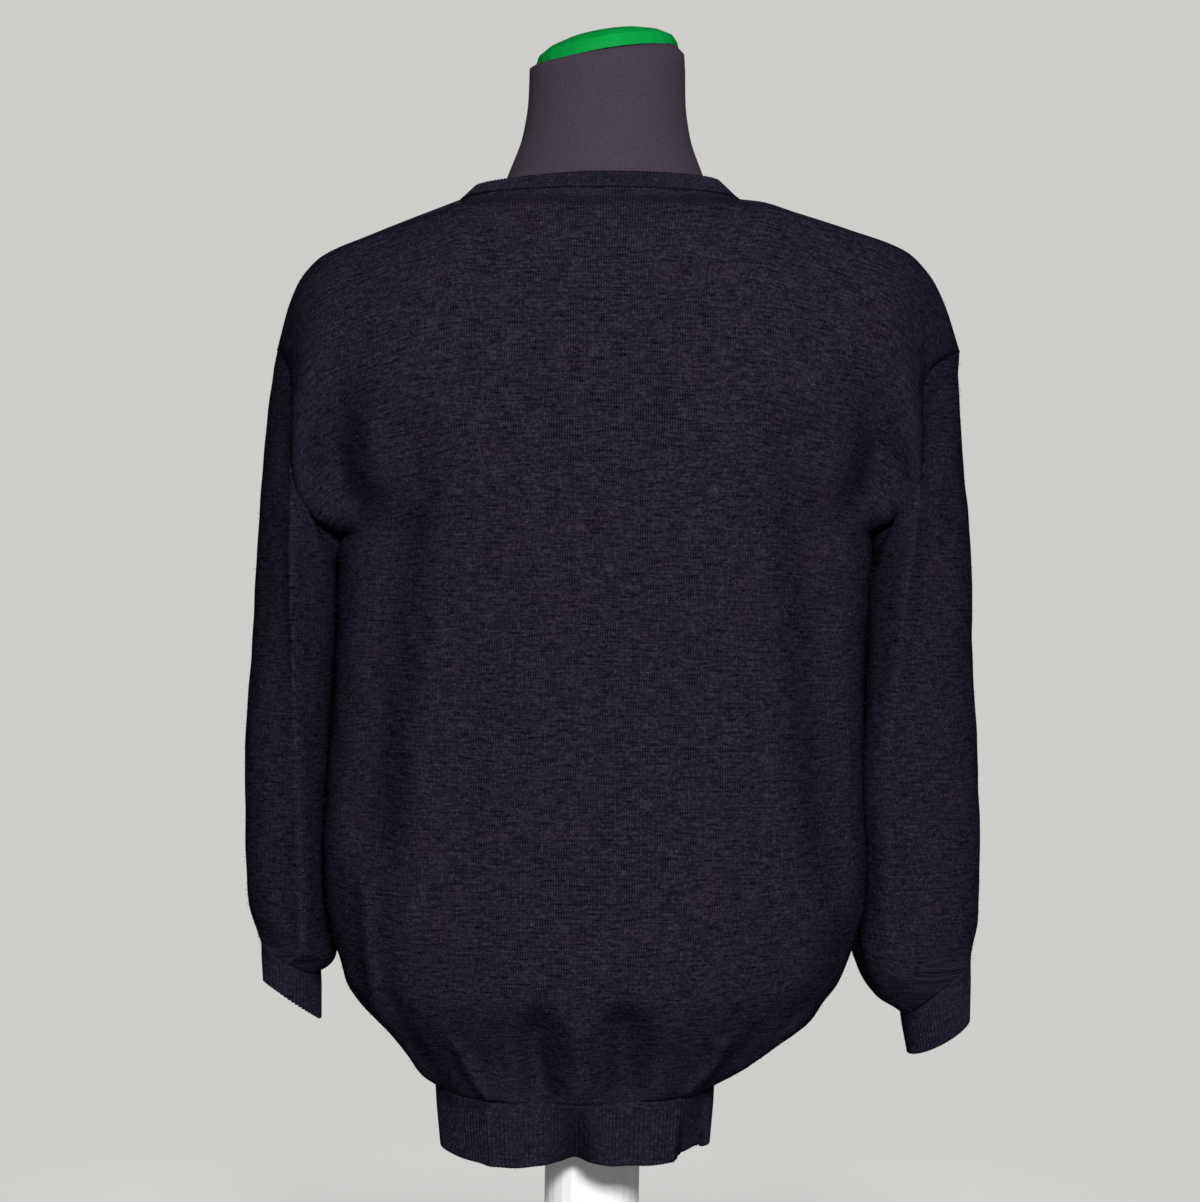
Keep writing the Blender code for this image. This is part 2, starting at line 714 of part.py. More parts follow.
def neck_cap(material):
    """The domed cap on the neck, as a turned shape on the neck's tilted top."""
    profile = [(cap_radius * math.cos(turn), cap_height * math.sin(turn)) for turn in
               np.linspace(math.pi / 2, 0, 6)]
    outline = [(radius, height + 4) for radius, height in profile] + [(cap_radius, 0), (0, 0)]
    cap = turned("neck_cap", outline, material, 28)
    cap.rotation_euler = (0, neck_top_tilt, 0)
    cap.location = (0, -0.005, (neck_top_level + seam_gap + 0.1) * MM)
    cap.scale = (1, 0.9, 1)


def turned(name, outline, material, steps):
    """A turned piece from its outline, which runs down its outer side."""
    mesh = bpy.data.meshes.new(name)
    points = [(radius * MM, 0, height * MM) for radius, height in outline]
    mesh.from_pydata(points, [(i, i + 1) for i in range(len(points) - 1)], [])
    piece = bpy.data.objects.new(name, mesh)
    piece.data.materials.append(material)
    pieces.objects.link(piece)
    screw = piece.modifiers.new("turn", "SCREW")
    screw.steps = steps
    screw.render_steps = steps
    screw.use_merge_vertices = True
    screw.merge_threshold = 0.00001
    screw.use_smooth_shade = True
    return piece


def stand(wrap, metal):
    """The pole below the form and its round base."""
    pole_top = form_sections[0][0] - seam_gap
    pole_bottom = base_thickness + seam_gap
    turned("pole", [(0, pole_top), (pole_radius, pole_top), (pole_radius, pole_bottom), (0, pole_bottom)],
           wrap, 28)
    soft = 6.0
    rim = [(base_radius - soft + soft * math.sin(turn), base_thickness - soft + soft * math.cos(turn))
           for turn in np.linspace(0, math.pi / 2, 4)]
    turned("stand_base", [(0, base_thickness)] + rim + [(base_radius, 0), (0, 0)], metal, 48)


def finish(name, colour, roughness, metallic=0.0):
    """A plain Principled material."""
    material = bpy.data.materials.new(name)
    material.use_nodes = True
    shader = material.node_tree.nodes["Principled BSDF"]
    shader.inputs["Base Color"].default_value = (*colour, 1)
    shader.inputs["Roughness"].default_value = roughness
    shader.inputs["Metallic"].default_value = metallic
    material.diffuse_color = (*colour, 1)
    return material


def build():
    """Every piece, from the cloth inwards to the stand."""
    knit = finish("navy_knit", (0.013, 0.013, 0.024), 0.9)
    rib = finish("navy_rib", (0.012, 0.012, 0.022), 0.9)
    jersey = finish("dark_jersey", (0.05, 0.04, 0.065), 0.85)
    green = finish("green_cap", (0.01, 0.25, 0.07), 0.4)
    wrap = finish("pale_wrap", (0.72, 0.71, 0.7), 0.35)
    metal = finish("pale_base", (0.7, 0.69, 0.67), 0.4)
    back = body_panel("back", knit)
    front = body_panel("front", knit)
    for side in ("left", "right"):
        last_ring, out, angles = sleeve(side, knit)
        cuff(side, last_ring, out, angles, rib)
    hem_rib("back", back[0], back[1], rib)
    hem_rib("front", front[0], front[1], rib)
    neckband(back, front, rib)
    dress_form(jersey)
    neck_cap(green)
    stand(wrap, metal)


for old in list(bpy.data.objects):
    bpy.data.objects.remove(old, do_unlink=True)
pieces = bpy.data.collections.new("v_neck_sweater_on_dress_form")
bpy.context.scene.collection.children.link(pieces)
build()
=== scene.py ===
import math

import bmesh
import bpy
import numpy as np
from mathutils import Matrix, Vector


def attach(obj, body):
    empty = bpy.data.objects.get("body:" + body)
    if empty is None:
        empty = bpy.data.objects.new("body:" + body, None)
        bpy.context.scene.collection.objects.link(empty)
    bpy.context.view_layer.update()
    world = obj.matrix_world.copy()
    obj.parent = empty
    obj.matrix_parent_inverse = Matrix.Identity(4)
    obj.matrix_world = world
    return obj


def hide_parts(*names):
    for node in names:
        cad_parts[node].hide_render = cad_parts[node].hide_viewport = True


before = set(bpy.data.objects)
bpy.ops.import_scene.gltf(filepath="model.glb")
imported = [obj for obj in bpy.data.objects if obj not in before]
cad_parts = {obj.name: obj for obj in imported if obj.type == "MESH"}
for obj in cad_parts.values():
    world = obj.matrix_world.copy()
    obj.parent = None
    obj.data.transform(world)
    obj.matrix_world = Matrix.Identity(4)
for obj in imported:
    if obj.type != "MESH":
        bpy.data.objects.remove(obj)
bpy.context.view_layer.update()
print("frame loaded")

mm = 0.001

# The photo's camera: behind the form, level with the back, turned a little on its axis
photo = {"eye": (0, 1.9, 0.595), "lens": 81.42, "roll": math.radians(0.8)}
bpy.ops.object.camera_add(location=photo["eye"])
camera = bpy.context.object
camera.name = "photoCamera"
camera.data.sensor_fit = "HORIZONTAL"
camera.data.sensor_width = 36
camera.data.lens = photo["lens"]
facing = Matrix.Rotation(math.pi, 4, "Z") @ Matrix.Rotation(math.pi / 2, 4, "X")
turn = facing @ Matrix.Rotation(photo["roll"], 4, "Z")
camera.matrix_world = Matrix.Translation(photo["eye"]) @ turn
bpy.context.scene.camera = camera


# Small helpers for curves and directions, all in millimetres until a sheet is made
def unit(vectors):
    return vectors / np.maximum(np.linalg.norm(vectors, axis=-1, keepdims=True), 1e-9)


def smoothStep(value):
    value = np.clip(value, 0, 1)
    return value * value * (3 - 2 * value)


def column(table, name):
    place = table["columns"].index(name)
    return np.array([row[place] for row in table["rows"]], float)


def smoothCurve(x, y, at):
    # a cubic through the rows that never overshoots them
    x, y = np.asarray(x, float), np.asarray(y, float)
    at = np.clip(np.asarray(at, float), x[0], x[-1])
    step = np.diff(x)
    rise = np.diff(y) / step
    slope = np.zeros(len(x))
    slope[0], slope[-1] = rise[0], rise[-1]
    sameWay = rise[:-1] * rise[1:] > 0
    inner = np.zeros(len(x) - 2)
    inner[sameWay] = 2 * rise[:-1][sameWay] * rise[1:][sameWay] / (rise[:-1] + rise[1:])[sameWay]
    slope[1:-1] = inner
    k = np.clip(np.searchsorted(x, at, side="right") - 1, 0, len(x) - 2)
    t = (at - x[k]) / step[k]
    return (y[k] * (1 + 2 * t) * (1 - t) ** 2 + slope[k] * step[k] * t * (1 - t) ** 2
            + y[k + 1] * t * t * (3 - 2 * t) + slope[k + 1] * step[k] * t * t * (t - 1))


def tableCurve(table, name, at):
    return smoothCurve(column(table, table["columns"][0]), column(table, name), at)


def lengthAlong(points, axis=0):
    steps = np.linalg.norm(np.diff(points, axis=axis), axis=-1)
    start = np.zeros_like(np.take(steps, [0], axis=axis))
    return np.cumsum(np.concatenate([start, steps], axis=axis), axis=axis)


def surfaceNormals(points, around=False):
    upwards = np.gradient(points, axis=0)
    if around:
        body = points[:, :-1]
        across = (np.roll(body, -1, 1) - np.roll(body, 1, 1)) / 2
        across = np.concatenate([across, across[:, :1]], 1)
    else:
        across = np.gradient(points, axis=1)
    return unit(np.cross(across, upwards))


def softNoise(points, size, seed):
    # a smooth uneven field, from a few seeded waves
    chance = np.random.default_rng(seed)
    waves = 14
    total = np.zeros(points.shape[:-1])
    for _ in range(waves):
        way = chance.normal(size=3)
        way = way / np.linalg.norm(way) * chance.uniform(0.5, 1.5) * 2 * math.pi / size
        total += np.sin(points @ way + chance.uniform(0, 2 * math.pi))
    return total / waves ** 0.5


# The sweater hangs a little askew on the upright form
hang = {"lean": 0.01396, "level": 595}


def lean(points):
    x, z = points[..., 0], points[..., 2]
    return np.stack([x + hang["lean"] * (z - hang["level"]), points[..., 1], z - hang["lean"] * x], -1)


def clearSelection():
    if bpy.context.mode != "OBJECT":
        bpy.ops.object.mode_set(mode="OBJECT")
    bpy.ops.object.select_all(action="DESELECT")


def makeSheet(name, points, uv, outward, thickness, material, closed=False, leans=True):
    # a flat grid is added, its points are moved to the cloth's shape, and it gets its thickness
    rows, columns = points.shape[:2]
    clearSelection()
    bpy.ops.mesh.primitive_grid_add(x_subdivisions=columns - 1, y_subdivisions=rows - 1, size=1)
    piece = bpy.context.object
    piece.name = name
    piece.data.name = name
    placed = (lean(points) if leans else points).reshape(-1, 3) * mm
    piece.data.vertices.foreach_set("co", placed.astype(np.float32).ravel())
    corner = np.zeros(len(piece.data.loops), int)
    piece.data.loops.foreach_get("vertex_index", corner)
    layer = piece.data.uv_layers[0]
    layer.name = "pattern"
    layer.data.foreach_set("uv", (uv.reshape(-1, 2)[corner] * mm).astype(np.float32).ravel())
    piece.data.update()
    normals = np.zeros(len(piece.data.vertices) * 3, np.float32)
    piece.data.vertices.foreach_get("normal", normals)
    bpy.ops.object.mode_set(mode="EDIT")
    bpy.ops.mesh.select_all(action="SELECT")
    if np.sum(normals.reshape(-1, 3) * outward.reshape(-1, 3)) < 0:
        bpy.ops.mesh.flip_normals()
    if closed:
        bpy.ops.mesh.remove_doubles(threshold=0.000002)
    bpy.ops.object.mode_set(mode="OBJECT")
    piece.data.materials.append(material)
    wall = piece.modifiers.new("thickness", "SOLIDIFY")
    wall.thickness = thickness * mm
    wall.offset = -1
    bpy.ops.object.modifier_apply(modifier=wall.name)
    bpy.ops.object.shade_smooth()
    return piece


def sheetArea(piece):
    work = bmesh.new()
    work.from_mesh(piece.data)
    area = sum(face.calc_area() for face in work.faces) / 2
    work.free()
    return area


# Materials
def makeMaterial(name):
    material = bpy.data.materials.new(name)
    material.use_nodes = True
    return material, material.node_tree, material.node_tree.nodes["Principled BSDF"]


def addNode(tree, kind, inputs=(), **settings):
    node = tree.nodes.new(kind)
    for key, value in settings.items():
        setattr(node, key, value)
    for key, value in dict(inputs).items():
        if isinstance(value, bpy.types.NodeSocket):
            tree.links.new(value, node.inputs[key])
        else:
            node.inputs[key].default_value = value
    return node


def mathNode(tree, operation, first, second=0.0):
    return addNode(tree, "ShaderNodeMath", {0: first, 1: second}, operation=operation).outputs[0]


def mixColours(tree, share, first, second):
    node = addNode(tree, "ShaderNodeMix", {0: share, 6: first, 7: second}, data_type="RGBA")
    return node.outputs[2]


def rampNode(tree, value, low, high):
    node = addNode(tree, "ShaderNodeMapRange", {0: value, 1: low, 2: high, 3: 0.0, 4: 1.0}, clamp=True)
    return node.outputs[0]


def knitMaterial(name, look):
    material, tree, shader = makeMaterial(name)
    pattern = addNode(tree, "ShaderNodeUVMap", uv_map="pattern").outputs[0]
    parts = addNode(tree, "ShaderNodeSeparateXYZ", {0: pattern}).outputs
    place = addNode(tree, "ShaderNodeTexCoord").outputs["Object"]
    wale = mathNode(tree, "DIVIDE", parts[0], look["wale"])
    course = mathNode(tree, "DIVIDE", parts[1], look["course"])
    aside = mathNode(tree, "ABSOLUTE", mathNode(tree, "SUBTRACT", mathNode(tree, "FRACT", wale), 0.5))

    # a stitch has two slanted legs, and its wale stands up between its neighbours
    leg = mathNode(tree, "SUBTRACT", 1.0, mathNode(tree, "ABSOLUTE", mathNode(tree, "SUBTRACT",
                   mathNode(tree, "MULTIPLY", aside, 4.0), 1.0)))
    slant = mathNode(tree, "ADD", course, mathNode(tree, "MULTIPLY", aside, 1.1))
    loop = mathNode(tree, "COSINE", mathNode(tree, "MULTIPLY", slant, 2 * math.pi))
    stitch = mathNode(tree, "MULTIPLY", mathNode(tree, "POWER", mathNode(tree, "MAXIMUM", leg, 0.0), 0.6),
                      mathNode(tree, "ADD", mathNode(tree, "MULTIPLY", loop, 0.3), 0.7))
    crown = mathNode(tree, "SUBTRACT", 1.0, mathNode(tree, "MULTIPLY", aside, 2.0))

    # each stitch takes its own tone from the melange yarn
    cell = addNode(tree, "ShaderNodeCombineXYZ", {0: mathNode(tree, "FLOOR", wale),
                                                  1: mathNode(tree, "FLOOR", slant)}).outputs[0]
    chance = addNode(tree, "ShaderNodeTexWhiteNoise", {"Vector": cell}).outputs
    strand = mathNode(tree, "POWER", chance["Value"], 2.2)

    # slubs lie along the courses, patches in every direction
    stretched = addNode(tree, "ShaderNodeMapping", {0: pattern, 3: look["slubScale"]}).outputs[0]
    slub = addNode(tree, "ShaderNodeTexNoise", {"Vector": stretched, "Scale": 1.0, "Detail": 3.0,
                                                "Roughness": 0.65}).outputs[0]
    patch = addNode(tree, "ShaderNodeTexNoise", {"Vector": place, "Scale": look["patchScale"], "Detail": 4.0,
                                                 "Roughness": 0.6}).outputs
    # the crown and stitch terms lighten the raised middle of each wale and the loop legs, and darken the
    # grooves between them: painted shade of the stitch relief
    tone = mathNode(tree, "ADD", look["ground"], mathNode(tree, "MULTIPLY", crown, look["paintedWaleShade"]))
    layers = (
        (stitch, 0.0, 1.0, look["paintedStitchShade"]), (strand, 0.0, 1.0, look["strandTone"]),
        (slub, 0.33, 0.67, look["slubTone"]), (patch[0], 0.3, 0.7, look["patchTone"]),
    )
    for part, low, high, weight in layers:
        share = mathNode(tree, "MULTIPLY", rampNode(tree, part, low, high), weight)
        tone = mathNode(tree, "ADD", tone, share)

    # tints drift from blue to violet, a few stitches are redder, and lint lies here and there
    colour = mixColours(tree, rampNode(tree, patch[0], 0.38, 0.64), look["blue"], look["violet"])
    fleck = mathNode(tree, "MULTIPLY", rampNode(tree, chance["Value"], 0.86, 0.9), look["flecks"])
    colour = mixColours(tree, fleck, colour, look["redFleck"])
    toned = addNode(tree, "ShaderNodeVectorMath", {0: colour, "Scale": tone}, operation="SCALE").outputs[0]
    specks = addNode(tree, "ShaderNodeTexVoronoi", {"Vector": place, "Scale": look["lintScale"]})
    size = rampNode(tree, specks.outputs["Distance"], 0.055, 0.03)
    pick = addNode(tree, "ShaderNodeSeparateXYZ", {0: specks.outputs["Color"]}).outputs[0]
    rare = rampNode(tree, pick, 0.86, 0.88)
    toned = mixColours(tree, mathNode(tree, "MULTIPLY", size, rare), toned, look["lint"])
    tree.links.new(toned, shader.inputs["Base Color"])

    height = mathNode(tree, "ADD", mathNode(tree, "MULTIPLY", stitch, 0.6),
                      mathNode(tree, "MULTIPLY", crown, 0.5))
    height = mathNode(tree, "ADD", height, mathNode(tree, "MULTIPLY", slub, look["slubHeight"]))
    bump = addNode(tree, "ShaderNodeBump", {"Strength": look["bump"], "Distance": look["relief"],
                                            "Height": height})
    tree.links.new(bump.outputs[0], shader.inputs["Normal"])
    shader.inputs["Roughness"].default_value = look["roughness"]
    shader.inputs["Specular IOR Level"].default_value = look["shine"]
    return material


def simpleMaterial(name, colour, roughness, bumpScale, bumpStrength, stretch=(1, 1, 1), coat=0.0,
                   darker=0.85, shine=0.5):
    material, tree, shader = makeMaterial(name)
    place = addNode(tree, "ShaderNodeTexCoord").outputs["Object"]
    placed = addNode(tree, "ShaderNodeMapping", {0: place, 3: stretch}).outputs[0]
    detail = {"Vector": placed, "Scale": bumpScale, "Detail": 4.0}
    noise = addNode(tree, "ShaderNodeTexNoise", detail).outputs[0]
    # each colour is darkened where the noise is low, which are the dips of its bump
    darkerInDips = tuple(part * darker for part in colour[:3]) + (1,)
    mixed = mixColours(tree, rampNode(tree, noise, 0.35, 0.7), darkerInDips, colour)
    tree.links.new(mixed, shader.inputs["Base Color"])
    bump = addNode(tree, "ShaderNodeBump", {"Strength": bumpStrength, "Distance": 0.001, "Height": noise})
    tree.links.new(bump.outputs[0], shader.inputs["Normal"])
    shader.inputs["Roughness"].default_value = roughness
    shader.inputs["Specular IOR Level"].default_value = shine
    shader.inputs["Coat Weight"].default_value = coat
    shader.inputs["Coat Roughness"].default_value = 0.12
    return material


jerseyWool = {
    "wale": 0.00175, "course": 0.0013, "ground": -0.5, "paintedWaleShade": 1.25, "paintedStitchShade": 0.3,
    "strandTone": 1.25, "slubScale": (70.0, 640.0, 1.0), "slubTone": 1.5, "slubHeight": 1.0,
    "patchScale": 30.0, "patchTone": 0.16,
    "blue": (0.0052, 0.0049, 0.0092, 1), "violet": (0.0056, 0.0047, 0.0079, 1), "flecks": 0.1,
    "redFleck": (0.013, 0.006, 0.008, 1), "lint": (0.06, 0.06, 0.068, 1), "lintScale": 95.0,
    "bump": 0.3, "relief": 0.0006, "roughness": 1.0, "shine": 0.0,
}
ribWool = dict(jerseyWool, wale=0.00155, ground=0.12, paintedWaleShade=0.6, slubTone=0.7,
               blue=(0.006, 0.0058, 0.0106, 1), violet=(0.0066, 0.0056, 0.0093, 1))
knit = knitMaterial("navyKnit", jerseyWool)
rib = knitMaterial("navyRib", ribWool)
print("wool made")

# The garment's sections, as in its pattern
garment = {
    "hemLevel": 260, "hemEdge": 217.6, "underarm": 640, "shoulder": 874, "neckHalf": 96, "seamAtNeck": 12,
    "backNeck": 75, "vPoint": 668, "bandWidth": 25, "rollover": 13, "gap": 0.3, "thickness": 1.7,
    "lowerRows": 112, "upperRows": 98, "neckColumns": 44, "shoulderColumns": 50, "halfPattern": 262,
}
bodyDepth = {
    "columns": ("level", "middle", "back", "front", "square"),
    "rows": (
        (260, 16, 99, -99, 2.1), (272, 13, 101, -103, 2.1), (286, 8, 105, -110, 2.15),
        (304, 6, 115, -119, 2.2), (318, 5, 123, -124, 2.2), (334, 4, 128.5, -127, 2.25),
        (352, 3.5, 130, -129, 2.25), (392, 3, 128, -129, 2.3),
        (430, 3, 125, -129, 2.3), (540, 1, 119, -128, 2.35), (640, -3, 121, -128, 2.4),
        (700, -5, 121, -130, 2.45), (760, -6, 118, -124, 2.4), (800, -6, 112, -113, 2.25),
        (838, -6, 101, -90, 1.95), (862, -6, 89, -58, 1.6), (874, -6, 75, 12, 1.4),
    ),
}
bodySide = {
    "columns": ("level", "left", "right"),
    "rows": (
        (260, 115, 80), (270, 127, 101), (280, 135, 117), (290, 143, 131), (303, 156, 147),
        (316, 168, 156), (330, 177, 166), (344, 181, 172), (364, 187.5, 178), (386, 192, 183),
        (414, 193.5, 185), (456, 191.5, 185), (540, 186, 185), (604, 183, 187), (628, 182.5, 189),
        (640, 177, 188),
    ),
}
armhole = {
    "left": {"topX": 225.4, "topZ": 770.7, "midX": 209, "bottomX": 177, "bottomZ": 640, "reach": 60},
    "right": {"topX": 251.3, "topZ": 769.3, "midX": 219, "bottomX": 188, "bottomZ": 642, "reach": 60},
}
shoulderFall = {
    "columns": ("out", "left", "right"),
    "rows": (
        (0, 0, 0), (0.1, 0.046, 0.014), (0.25, 0.115, 0.08), (0.5, 0.235, 0.195),
        (0.75, 0.367, 0.33), (0.865, 0.51, 0.495), (0.93, 0.68, 0.68), (1, 1, 1),
    ),
}
groove = {
    "columns": ("level", "depth", "inset"), "width": 19,
    "rows": (
        (640, 0, 16), (662, 14, 18), (684, 33, 22), (706, 36, 27), (735, 25, 32), (765, 9, 35),
        (800, 0, 35), (874, 0, 35),
    ),
}

# Creases: which side, three points (x, z), height outwards and width
creases = (
    ("back", 98, 700, 116, 540, 128, 380, 5, 20),
    ("back", 126, 700, 141, 590, 155, 440, -12, 27),
    ("back", -108, 650, -126, 480, -144, 350, 5, 20),
    ("back", -130, 700, -143, 590, -157, 420, -14, 27),
    ("back", 158, 400, 153, 318, 121, 264, 6, 8),
    ("back", 140, 330, 126, 296, 106, 266, -5, 9),
    ("back", 96, 298, 88, 280, 76, 263, 6, 6),
    ("back", -84, 300, -77, 281, -60, 264, 7, 7),
    ("back", -144, 314, -126, 298, -98, 277, 6, 7),
    ("back", -104, 306, -92, 290, -78, 270, -5, 9),
    ("back", 42, 310, 41, 290, 40, 270, -20, 17),
    ("back", -15, 314, -16, 292, -16, 270, -20, 18),
    ("back", 13, 310, 13, 290, 13, 270, 5, 9),
    ("front", 60, 690, 105, 560, 128, 420, 4, 26),
    ("front", -52, 690, -96, 540, -122, 400, 4, 26),
    ("front", 120, 680, 140, 600, 150, 500, -5, 26),
    ("front", -126, 670, -142, 590, -148, 480, -5, 26),
    ("front", 62, 330, 60, 305, 56, 284, -8, 19),
    ("front", 4, 322, 2, 300, 0, 284, -9, 19),
    ("front", -52, 326, -49, 302, -46, 284, -8, 19),
    ("front", 118, 350, 108, 310, 88, 268, 5, 14),
    ("front", -120, 360, -104, 312, -76, 268, 5, 14),
)


def armholeAngle(level):
    return math.pi * (garment["shoulder"] - level) / (garment["shoulder"] - garment["underarm"])


def armholePoint(side, angle):
    hole = armhole[side]
    up = math.cos(angle)
    x = hole["midX"] + (hole["topX"] - hole["midX"]) * max(up, 0) ** 5
    x += (hole["bottomX"] - hole["midX"]) * max(-up, 0) ** 5
    z = (hole["topZ"] + hole["bottomZ"]) / 2 + (hole["topZ"] - hole["bottomZ"]) / 2 * up
    return np.array([x, hole["reach"] * math.sin(angle), z])


def sectionEnd(face, side, level):
    way = 1 if face == "back" else -1
    if level <= garment["underarm"]:
        return np.array([float(tableCurve(bodySide, side, level)), way * garment["gap"] / 2, level])
    point = armholePoint(side, way * armholeAngle(level))
    point[1] += way * garment["gap"] / 2
    return point


def halfSection(face, side, level):
    angle = np.linspace(0, math.pi / 2, 241)
    sign = 1 if side == "left" else -1
    middle = sign * float(tableCurve(bodyDepth, "middle", level))
    depth = float(tableCurve(bodyDepth, face, level))
    square = float(tableCurve(bodyDepth, "square", level))
    end = sectionEnd(face, side, level)
    x = middle + (end[0] - middle) * np.sin(angle) ** (2 / square)
    y = end[1] + (depth - end[1]) * np.cos(angle) ** (2 / square)
    over = float(smoothStep((level - garment["shoulder"] + garment["rollover"]) / garment["rollover"]))
    share = np.clip((x - garment["neckHalf"]) / (end[0] - garment["neckHalf"]), 0, 1)
    top = garment["seamAtNeck"] * (1 - share) + end[1] * share
    if face == "back":
        scoop = np.sqrt(np.clip(1 - (x / garment["neckHalf"]) ** 2, 0, 1))
        top = top + (garment["backNeck"] - garment["seamAtNeck"]) * scoop
    way = 1 if face == "back" else -1
    top = np.where(x > garment["neckHalf"], top + way * garment["gap"] / 2 * (1 - share), top)
    y = y * (1 - over) + top * over
    hollow = np.exp(-((x - end[0] + float(tableCurve(groove, "inset", level))) / groove["width"]) ** 2)
    hollow = hollow - hollow[-1] * (np.clip(x, 0, None) / end[0]) ** 6
    y = y - way * float(tableCurve(groove, "depth", level)) * hollow
    z = level - (level - end[2]) * tableCurve(shoulderFall, side, share)
    return np.stack([x, y, z], -1)


def sectionRow(face, side, level, shares):
    line = halfSection(face, side, level)
    length = lengthAlong(line)
    row = np.stack([np.interp(shares * length[-1], length, line[:, axis]) for axis in range(3)], -1)
    row[:, 0] *= 1 if side == "left" else -1
    return row


def neckShare(face, side):
    line = halfSection(face, side, garment["shoulder"])
    length = lengthAlong(line)
    return float(np.interp(garment["neckHalf"], line[:, 0], length) / length[-1])


def creaseHeight(face, points, table):
    height = np.zeros(points.shape[:-1])
    flat = points[..., (0, 2)]
    for side, x1, z1, x2, z2, x3, z3, high, wide in table:
        if side != face:
            continue
        path = np.array([(x1, z1), (x2, z2), (x3, z3)], float)
        nearest = np.full(points.shape[:-1], 1e9)
        for start, end in zip(path[:-1], path[1:]):
            run = end - start
            t = np.clip(((flat - start) @ run) / (run @ run), 0, 1)
            nearest = np.minimum(nearest, np.linalg.norm(flat - (start + t[..., None] * run), axis=-1))
        height += high * np.exp(-(nearest / wide * 1.3) ** 2)
    return height


def panelSurface(face):
    low, under, high = garment["hemLevel"], garment["underarm"], garment["shoulder"]
    lower = np.linspace(0, 1, garment["lowerRows"], endpoint=False)
    upper = np.linspace(0, 1, garment["upperRows"])
    levels = np.concatenate([low + (under - low) * (0.72 * lower + 0.28 * lower ** 2),
                             under + (high - under) * (1.45 * upper - 0.45 * upper ** 2)])
    halves, across = [], []
    for side in ("right", "left"):
        neck = neckShare(face, side)
        inner = neck * (1 - (1 - np.linspace(0, 1, garment["neckColumns"])) ** 1.25)
        outer = neck + (1 - neck) * np.linspace(0, 1, garment["shoulderColumns"] + 1)[1:]
        shares = np.concatenate([inner, outer])
        rows = np.array([sectionRow(face, side, level, shares) for level in levels])
        halves.append(rows)
        across.append((shares, shares / neck))
    lattice = np.concatenate([halves[0][:, :0:-1], halves[1]], 1)
    share = np.concatenate([-across[0][0][:0:-1], across[1][0]])
    neckPart = np.concatenate([across[0][1][:0:-1], across[1][1]])
    points = lattice.copy()
    if face == "front":
        for k in np.nonzero(neckPart < 1)[0]:
            top = garment["vPoint"] + (high - garment["vPoint"]) * neckPart[k] ** 0.92
            own = low + (levels - low) * (top - low) / (high - low)
            for axis in range(3):
                points[:, k, axis] = np.interp(own, levels, lattice[:, k, axis])
    way = 1 if face == "back" else -1
    count = points.shape[1]
    fromEnd = np.minimum(np.arange(count), np.arange(count)[::-1])
    points[..., 1] += way * creaseHeight(face, points, creases) * smoothStep(fromEnd / 14)
    return points, share, neckPart, levels, way


# The cloth's own unevenness: broad slack, then a fine ripple
slack = {"broad": 120, "broadHeight": 1.3, "fine": 34, "fineHeight": 0.35, "seeds": {"back": 11, "front": 23}}


def handCreases(points, normals, seed):
    broad = softNoise(points * (1, 1, 0.55), slack["broad"], seed) * slack["broadHeight"]
    fine = softNoise(points * (1, 1, 0.8), slack["fine"], seed + 1) * slack["fineHeight"]
    ends = np.minimum(np.arange(points.shape[1]), np.arange(points.shape[1])[::-1]) / 10
    tops = np.minimum(np.arange(points.shape[0]), np.arange(points.shape[0])[::-1]) / 8
    calm = smoothStep(ends)[None, :] * smoothStep(tops)[:, None]
    return points + normals * ((broad + fine) * calm)[..., None]


def makePanel(face):
    points, share, neckPart, levels, way = panelSurface(face)
    normals = surfaceNormals(points) * -way
    points = handCreases(points, normals, slack["seeds"][face])
    up = lengthAlong(points, 0)
    if face == "back":
        up = np.broadcast_to(up.mean(axis=1, keepdims=True), up.shape)
    uv = np.stack([np.broadcast_to(share * garment["halfPattern"], up.shape), up], -1)
    piece = makeSheet(face + "Panel", points, uv, normals, garment["thickness"], knit)
    return piece, points, normals, neckPart, levels, way


panels = {face: makePanel(face) for face in ("back", "front")}
print("body panels made")

# Sleeves
sleeveShape = {
    "columns": ("outerZ", "innerZ", "outerX", "innerX", "back", "front", "ridgeX", "ridge", "forward"),
    "firstCrease": math.pi * 84 / 132, "crease": math.pi * 92 / 132, "rows": 170, "around": 132, "flank": 0.6,
    "outside": 1.35, "ridgeWidth": 0.3, "broad": 90, "broadHeight": 1.2, "fine": 30, "fineHeight": 0.3,
    "left": (
        (732, 622, 231.5, 183.5, 57, -58.5, 208, 7, 3), (680, 606, 236, 183, 64, -64, 209, 9, 14),
        (620, 590, 240.5, 183, 67, -66, 209, 9, 28), (560, 545, 243.5, 186, 67, -65, 208, 9, 36),
        (480, 468, 247.5, 191, 63, -61, 206, 9, 38), (414, 404, 248, 194, 61, -59, 204, 8, 38),
        (384, 368, 245.5, 190, 59, -57, 204, 7, 34), (366, 345, 240, 187, 53, -51, 205, 5, 24),
        (357, 335, 236.6, 197.5, 38, -37, 216, 0, 12),
    ),
    "right": (
        (730, 624, 253, 191.5, 57, -58.5, 216, 7, 3), (680, 608, 255.5, 188.5, 64, -64, 213, 9, 14),
        (620, 592, 259.5, 187.5, 67, -66, 208, 9, 28), (560, 545, 261, 186, 68, -66, 203, 9, 36),
        (480, 468, 264, 186.5, 66, -62, 194, 8, 36), (414, 400, 265.5, 186.5, 62, -60, 198, 7, 32),
        (376, 352, 265, 181, 59, -56, 198, 5, 26), (354, 321, 261, 191.5, 51, -48, 208, 3, 16),
        (345, 306, 259, 212, 38, -37, 233, 0, 12),
    ),
}
